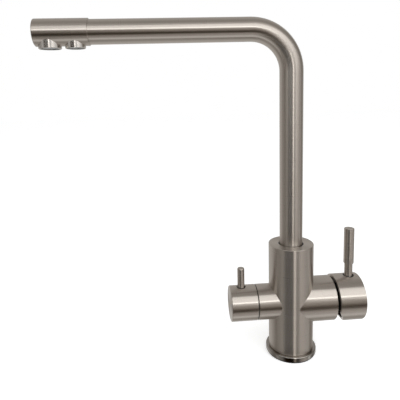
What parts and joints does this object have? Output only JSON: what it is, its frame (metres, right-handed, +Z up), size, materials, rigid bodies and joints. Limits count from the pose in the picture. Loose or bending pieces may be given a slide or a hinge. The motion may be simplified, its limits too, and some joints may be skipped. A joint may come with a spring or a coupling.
{
  "type": "three way filtered water tap",
  "caption": "Deck-mounted kitchen tap with a high swivel spout, a side mixer lever, a filtered-water valve on the other side and separate outlets in the spout head.",
  "frame": {"origin": "centre of the foot on the deck plane, on the column's axis", "axes": "+Z up along the column and riser, -X towards the spout's tip and the filter knob, +X towards the mixer lever, -Y is the side with no fixing screws"},
  "size_m": [0.3393, 0.0564, 0.3746],
  "materials": {
    "rubber": "matt",
    "polished": "polished",
    "brushed": "brushed",
    "brass": "machined",
    "steel": "plain",
    "white_plastic": "matt",
    "ceramic": "lapped ceramic",
    "black_plastic": "matt",
    "grey_plastic": "matt"
  },
  "bodies": {
    "base": {"base_gasket": "rubber", "base_ring": "polished", "body_shell": "brushed", "inlet_block": "brass", "block_screw": "steel", "block_seal_hot": "rubber", "block_seal_cold": "rubber", "block_seal_filter": "rubber", "cartridge_housing": "white_plastic", "port_seal_hot": "rubber", "port_seal_cold": "rubber", "port_seal_mixed": "rubber", "fixed_disc": "ceramic", "cartridge_nut": "brass", "nut_cover": "black_plastic", "headwork_body": "brass", "headwork_seal": "rubber", "valve_fixed_disc": "ceramic", "glide_ring": "black_plastic", "bush_lower": "white_plastic", "bush_upper": "black_plastic", "spout_screw": "steel"},
    "spout": {"spout_shank": "brass", "shank_oring_lower": "rubber", "shank_oring_upper": "rubber", "nose_oring": "rubber", "spout_tube": "brushed", "filter_tube": "steel", "spout_head": "brushed", "aerator_housing": "brushed", "aerator_insert": "grey_plastic", "aerator_seal": "rubber", "filter_nozzle": "brushed", "filter_straightener": "grey_plastic"},
    "mixer_turn": {"stem_guide": "grey_plastic", "stem_pin": "steel"},
    "mixer_disc": {"moving_disc": "ceramic", "disc_slider": "grey_plastic"},
    "mixer_lever": {"stem_lever": "steel", "handle_cap": "brushed", "lever_rod": "brushed", "lever_collar": "black_plastic", "handle_screw": "steel", "handle_plug": "brushed"},
    "filter_knob": {"valve_turning_disc": "ceramic", "filter_spindle": "brass", "spindle_oring": "rubber", "knob_shell": "brushed", "knob_pin": "brushed", "pin_collar": "black_plastic", "knob_screw": "steel", "knob_plug": "brushed"}
  },
  "joints": [
    {"name": "spout_swivel", "type": "hinge", "parent": "base", "child": "spout", "pos_m": [0, 0, 0.1], "axis": [0, 0, 1], "range_deg": [-150, 150]},
    {"name": "mixer_temperature", "type": "hinge", "parent": "base", "child": "mixer_turn", "pos_m": [0.038, 0, 0.0609], "axis": [1, 0, 0], "range_deg": [-45, 45]},
    {"name": "mixer_lift", "type": "hinge", "parent": "mixer_turn", "child": "mixer_lever", "pos_m": [0.038, 0, 0.0609], "axis": [0, 1, 0], "range_deg": [0, 14]},
    {"name": "disc_travel", "type": "slide", "parent": "mixer_turn", "child": "mixer_disc", "axis": [0, 0, 1], "range_m": [0, 0.0026]},
    {"name": "filter_turn", "type": "hinge", "parent": "base", "child": "filter_knob", "pos_m": [-0.057, 0, 0.0609], "axis": [1, 0, 0], "range_deg": [0, 90]}
  ],
  "couplings": [
    {"joint": "disc_travel", "follows": "mixer_lift", "m_per_rad": 0.0104}
  ]
}
